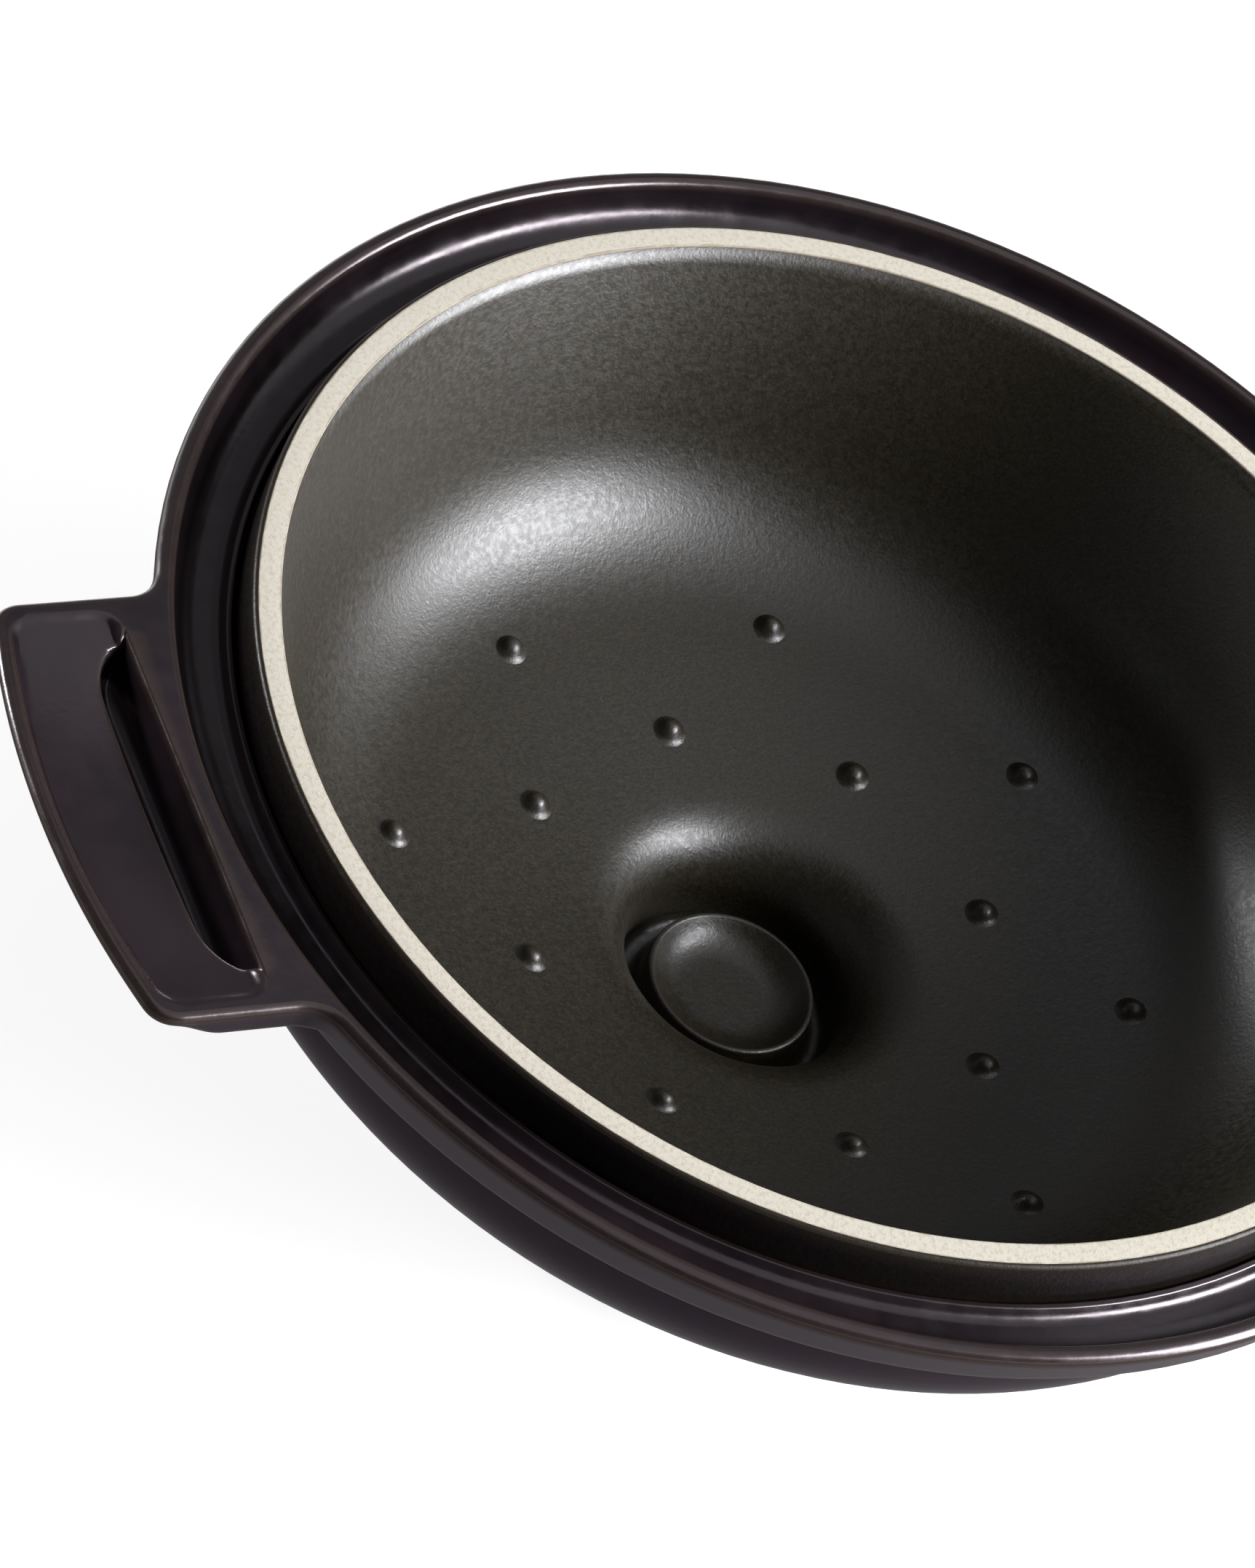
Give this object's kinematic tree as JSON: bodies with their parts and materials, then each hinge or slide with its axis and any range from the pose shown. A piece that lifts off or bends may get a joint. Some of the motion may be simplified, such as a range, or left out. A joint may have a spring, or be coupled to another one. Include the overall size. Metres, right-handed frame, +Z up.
{
  "type": "ceramic casserole dish",
  "caption": "Round dark-glazed ceramic casserole pot with flat lug handles, and a deep domed lid with a hollow knob and basting nubs that lies upside down in the pot's rim.",
  "frame": {"origin": "on the ground under the middle of the pot's foot", "axes": "+X along the lug handles, +Z up, the way the lid lifts off"},
  "size_m": [0.366, 0.2978, 0.1111],
  "materials": {
    "pot_glaze": "glossy purple-black glaze",
    "lid_glaze": "satin brown-black glaze with a fine speckle",
    "bare_clay": "unglazed cream clay, ground flat"
  },
  "bodies": {
    "pot": {"pot": "pot_glaze"},
    "lid": {"lid": "lid_glaze"}
  },
  "joints": [
    {"name": "lid_lift", "type": "slide", "parent": "pot", "child": "lid", "axis": [0, 0, 1], "range_m": [0, 0.12]}
  ]
}
